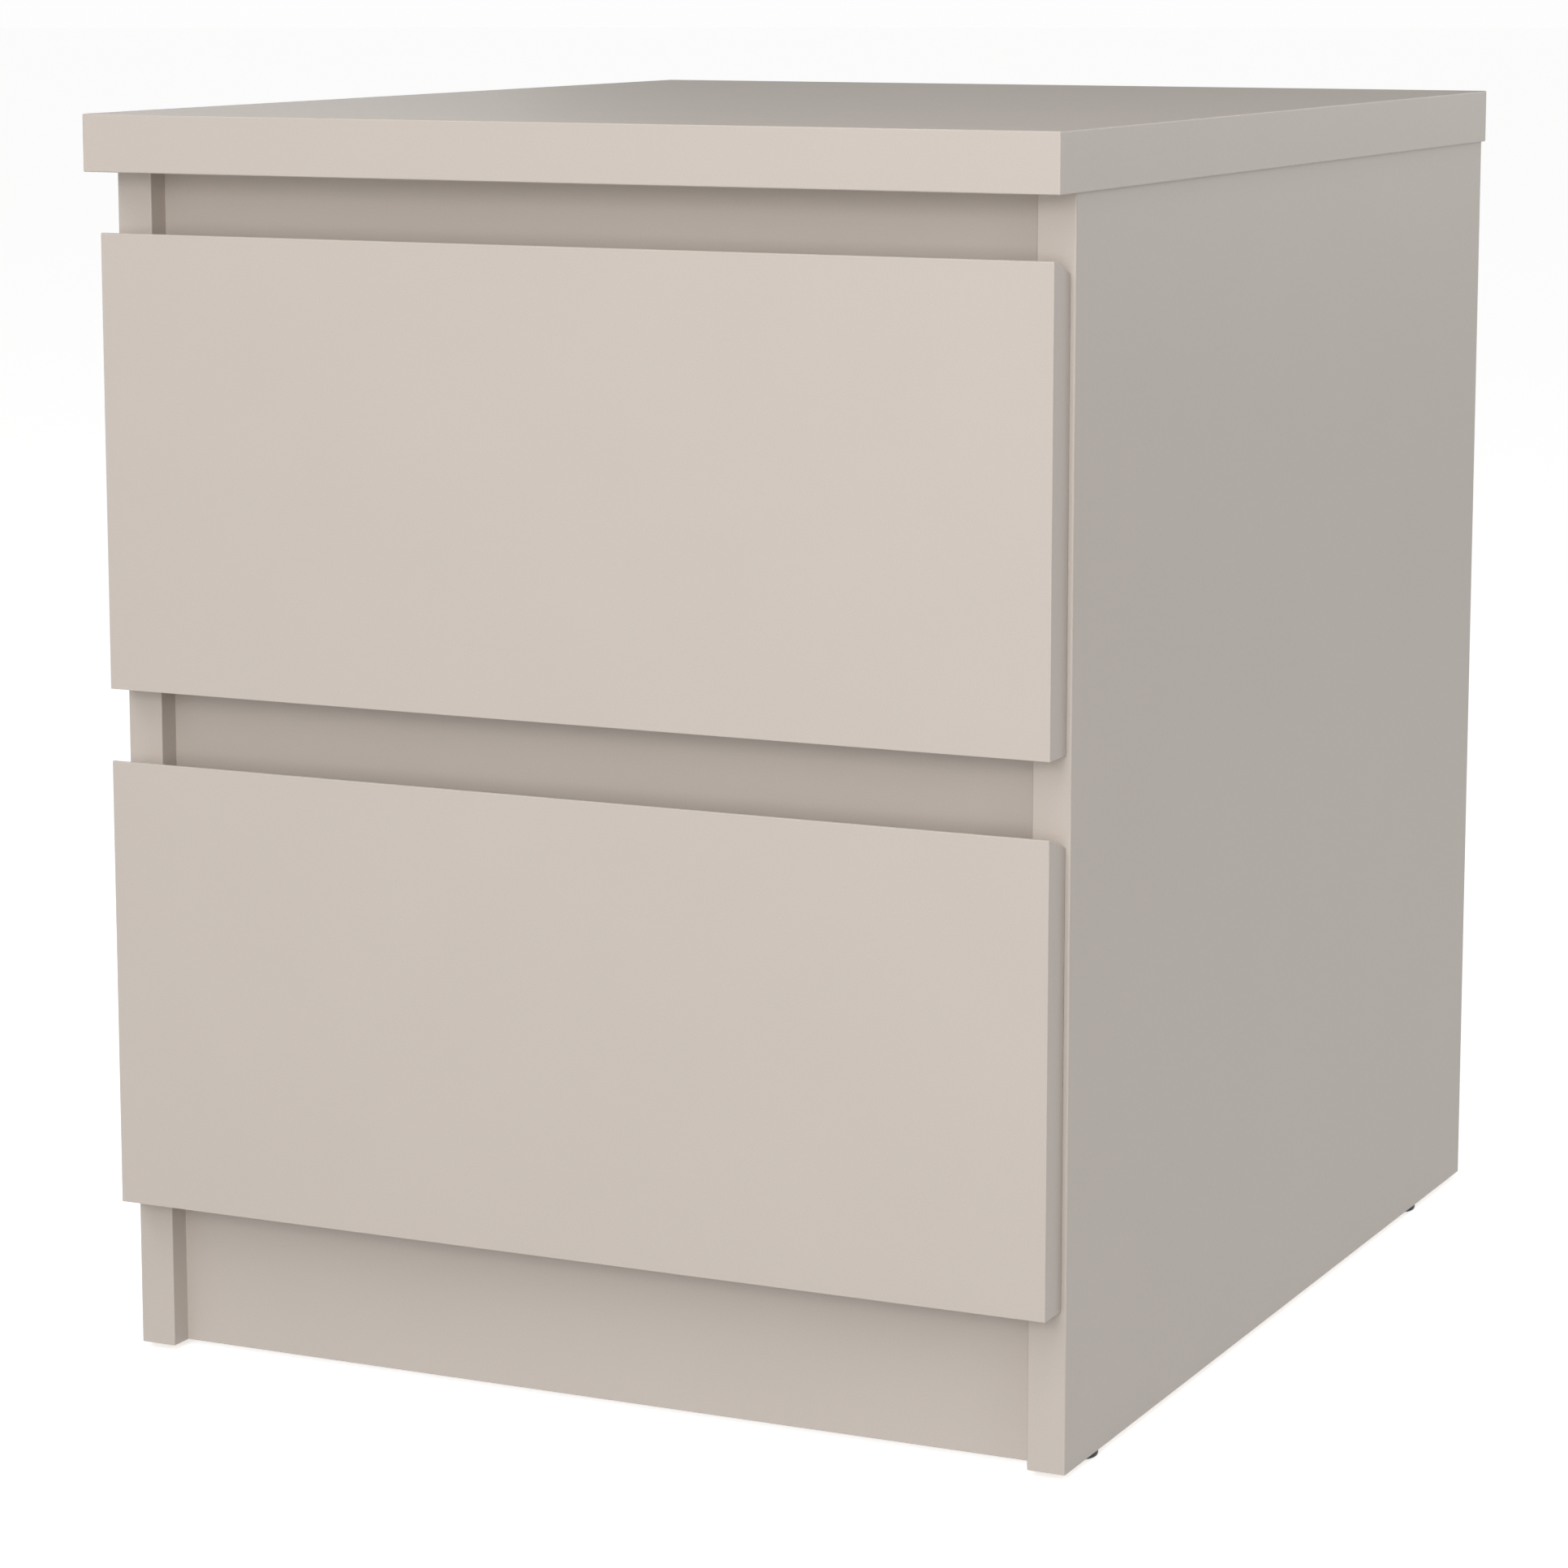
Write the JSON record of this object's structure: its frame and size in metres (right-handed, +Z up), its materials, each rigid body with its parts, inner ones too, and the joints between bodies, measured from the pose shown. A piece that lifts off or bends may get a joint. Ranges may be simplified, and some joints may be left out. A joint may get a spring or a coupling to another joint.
{
  "type": "nightstand with drawers",
  "caption": "Handle-less nightstand with overlapping top, bevelled drawer fronts over finger gaps, recessed rails and plinth, and drawers on steel roller runners.",
  "frame": {"origin": "on the floor, under the middle of the overall box", "axes": "+Z up, the drawers open towards -Y, +X is the right-hand side seen from the front"},
  "size_m": [0.4, 0.5, 0.49],
  "materials": {
    "beige_board": "satin beige foil on particle board, square edges with a small radius",
    "drawer_board": "matt pale beige foil on particle board",
    "hardboard": "matt painted hardboard",
    "coated_steel": "smooth powder coat, pale grey",
    "roller_plastic": "moulded acetal, natural white",
    "zinc_casting": "die-cast zinc alloy, as cast",
    "zinc_steel": "bright zinc-plated steel",
    "beech": "fluted beech dowel, unfinished",
    "glide_plastic": "moulded black polyethylene"
  },
  "bodies": {
    "carcass": {"top_panel": "beige_board", "left_side_panel": "beige_board", "right_side_panel": "beige_board", "upper_front_rail": "beige_board", "middle_front_rail": "beige_board", "plinth": "beige_board", "rear_rail": "beige_board", "back_panel": "hardboard", "back_panel_nails": "zinc_steel", "cam_locks": "zinc_casting", "cam_bolts": "zinc_steel", "dowels": "beech", "cabinet_runner_screws": "zinc_steel", "cabinet_roller_pins": "zinc_steel", "front_left_glide": "glide_plastic", "front_right_glide": "glide_plastic", "rear_left_glide": "glide_plastic", "rear_right_glide": "glide_plastic", "upper_left_cabinet_runner": "coated_steel", "upper_right_cabinet_runner": "coated_steel", "lower_left_cabinet_runner": "coated_steel", "lower_right_cabinet_runner": "coated_steel"},
    "upper_drawer": {"upper_drawer_front": "beige_board", "upper_drawer_left_side": "drawer_board", "upper_drawer_right_side": "drawer_board", "upper_drawer_back": "drawer_board", "upper_drawer_bottom": "hardboard", "upper_left_drawer_runner": "coated_steel", "upper_right_drawer_runner": "coated_steel", "upper_drawer_cam_locks": "zinc_casting", "upper_drawer_cam_bolts": "zinc_steel", "upper_drawer_dowels": "beech", "upper_drawer_back_screws": "zinc_steel", "upper_drawer_runner_screws": "zinc_steel", "upper_drawer_roller_pins": "zinc_steel"},
    "lower_drawer": {"lower_drawer_front": "beige_board", "lower_drawer_left_side": "drawer_board", "lower_drawer_right_side": "drawer_board", "lower_drawer_back": "drawer_board", "lower_drawer_bottom": "hardboard", "lower_left_drawer_runner": "coated_steel", "lower_right_drawer_runner": "coated_steel", "lower_drawer_cam_locks": "zinc_casting", "lower_drawer_cam_bolts": "zinc_steel", "lower_drawer_dowels": "beech", "lower_drawer_back_screws": "zinc_steel", "lower_drawer_runner_screws": "zinc_steel", "lower_drawer_roller_pins": "zinc_steel"},
    "upper_left_cabinet_roller": {"upper_left_cabinet_roller": "roller_plastic"},
    "upper_left_drawer_roller": {"upper_left_drawer_roller": "roller_plastic"},
    "upper_right_cabinet_roller": {"upper_right_cabinet_roller": "roller_plastic"},
    "upper_right_drawer_roller": {"upper_right_drawer_roller": "roller_plastic"},
    "lower_left_cabinet_roller": {"lower_left_cabinet_roller": "roller_plastic"},
    "lower_left_drawer_roller": {"lower_left_drawer_roller": "roller_plastic"},
    "lower_right_cabinet_roller": {"lower_right_cabinet_roller": "roller_plastic"},
    "lower_right_drawer_roller": {"lower_right_drawer_roller": "roller_plastic"}
  },
  "joints": [
    {"name": "upper_drawer_slide", "type": "slide", "parent": "carcass", "child": "upper_drawer", "axis": [0, -1, 0], "range_m": [0, 0.3]},
    {"name": "lower_drawer_slide", "type": "slide", "parent": "carcass", "child": "lower_drawer", "axis": [0, -1, 0], "range_m": [0, 0.3]},
    {"name": "upper_left_cabinet_roller_spin", "type": "hinge", "parent": "carcass", "child": "upper_left_cabinet_roller", "pos_m": [-0.1776, -0.207, 0.2966], "axis": [1, 0, 0], "continuous": true},
    {"name": "upper_left_drawer_roller_spin", "type": "hinge", "parent": "upper_drawer", "child": "upper_left_drawer_roller", "pos_m": [-0.1759, 0.1585, 0.2944], "axis": [1, 0, 0], "continuous": true},
    {"name": "upper_right_cabinet_roller_spin", "type": "hinge", "parent": "carcass", "child": "upper_right_cabinet_roller", "pos_m": [0.1776, -0.207, 0.2966], "axis": [1, 0, 0], "continuous": true},
    {"name": "upper_right_drawer_roller_spin", "type": "hinge", "parent": "upper_drawer", "child": "upper_right_drawer_roller", "pos_m": [0.1759, 0.1585, 0.2944], "axis": [1, 0, 0], "continuous": true},
    {"name": "lower_left_cabinet_roller_spin", "type": "hinge", "parent": "carcass", "child": "lower_left_cabinet_roller", "pos_m": [-0.1776, -0.207, 0.0921], "axis": [1, 0, 0], "continuous": true},
    {"name": "lower_left_drawer_roller_spin", "type": "hinge", "parent": "lower_drawer", "child": "lower_left_drawer_roller", "pos_m": [-0.1759, 0.1585, 0.0899], "axis": [1, 0, 0], "continuous": true},
    {"name": "lower_right_cabinet_roller_spin", "type": "hinge", "parent": "carcass", "child": "lower_right_cabinet_roller", "pos_m": [0.1776, -0.207, 0.0921], "axis": [1, 0, 0], "continuous": true},
    {"name": "lower_right_drawer_roller_spin", "type": "hinge", "parent": "lower_drawer", "child": "lower_right_drawer_roller", "pos_m": [0.1759, 0.1585, 0.0899], "axis": [1, 0, 0], "continuous": true}
  ],
  "couplings": [
    {"joint": "upper_left_cabinet_roller_spin", "follows": "upper_drawer_slide", "rad_per_m": 90.909},
    {"joint": "upper_left_drawer_roller_spin", "follows": "upper_drawer_slide", "rad_per_m": 90.909},
    {"joint": "upper_right_cabinet_roller_spin", "follows": "upper_drawer_slide", "rad_per_m": 90.909},
    {"joint": "upper_right_drawer_roller_spin", "follows": "upper_drawer_slide", "rad_per_m": 90.909},
    {"joint": "lower_left_cabinet_roller_spin", "follows": "lower_drawer_slide", "rad_per_m": 90.909},
    {"joint": "lower_left_drawer_roller_spin", "follows": "lower_drawer_slide", "rad_per_m": 90.909},
    {"joint": "lower_right_cabinet_roller_spin", "follows": "lower_drawer_slide", "rad_per_m": 90.909},
    {"joint": "lower_right_drawer_roller_spin", "follows": "lower_drawer_slide", "rad_per_m": 90.909}
  ]
}
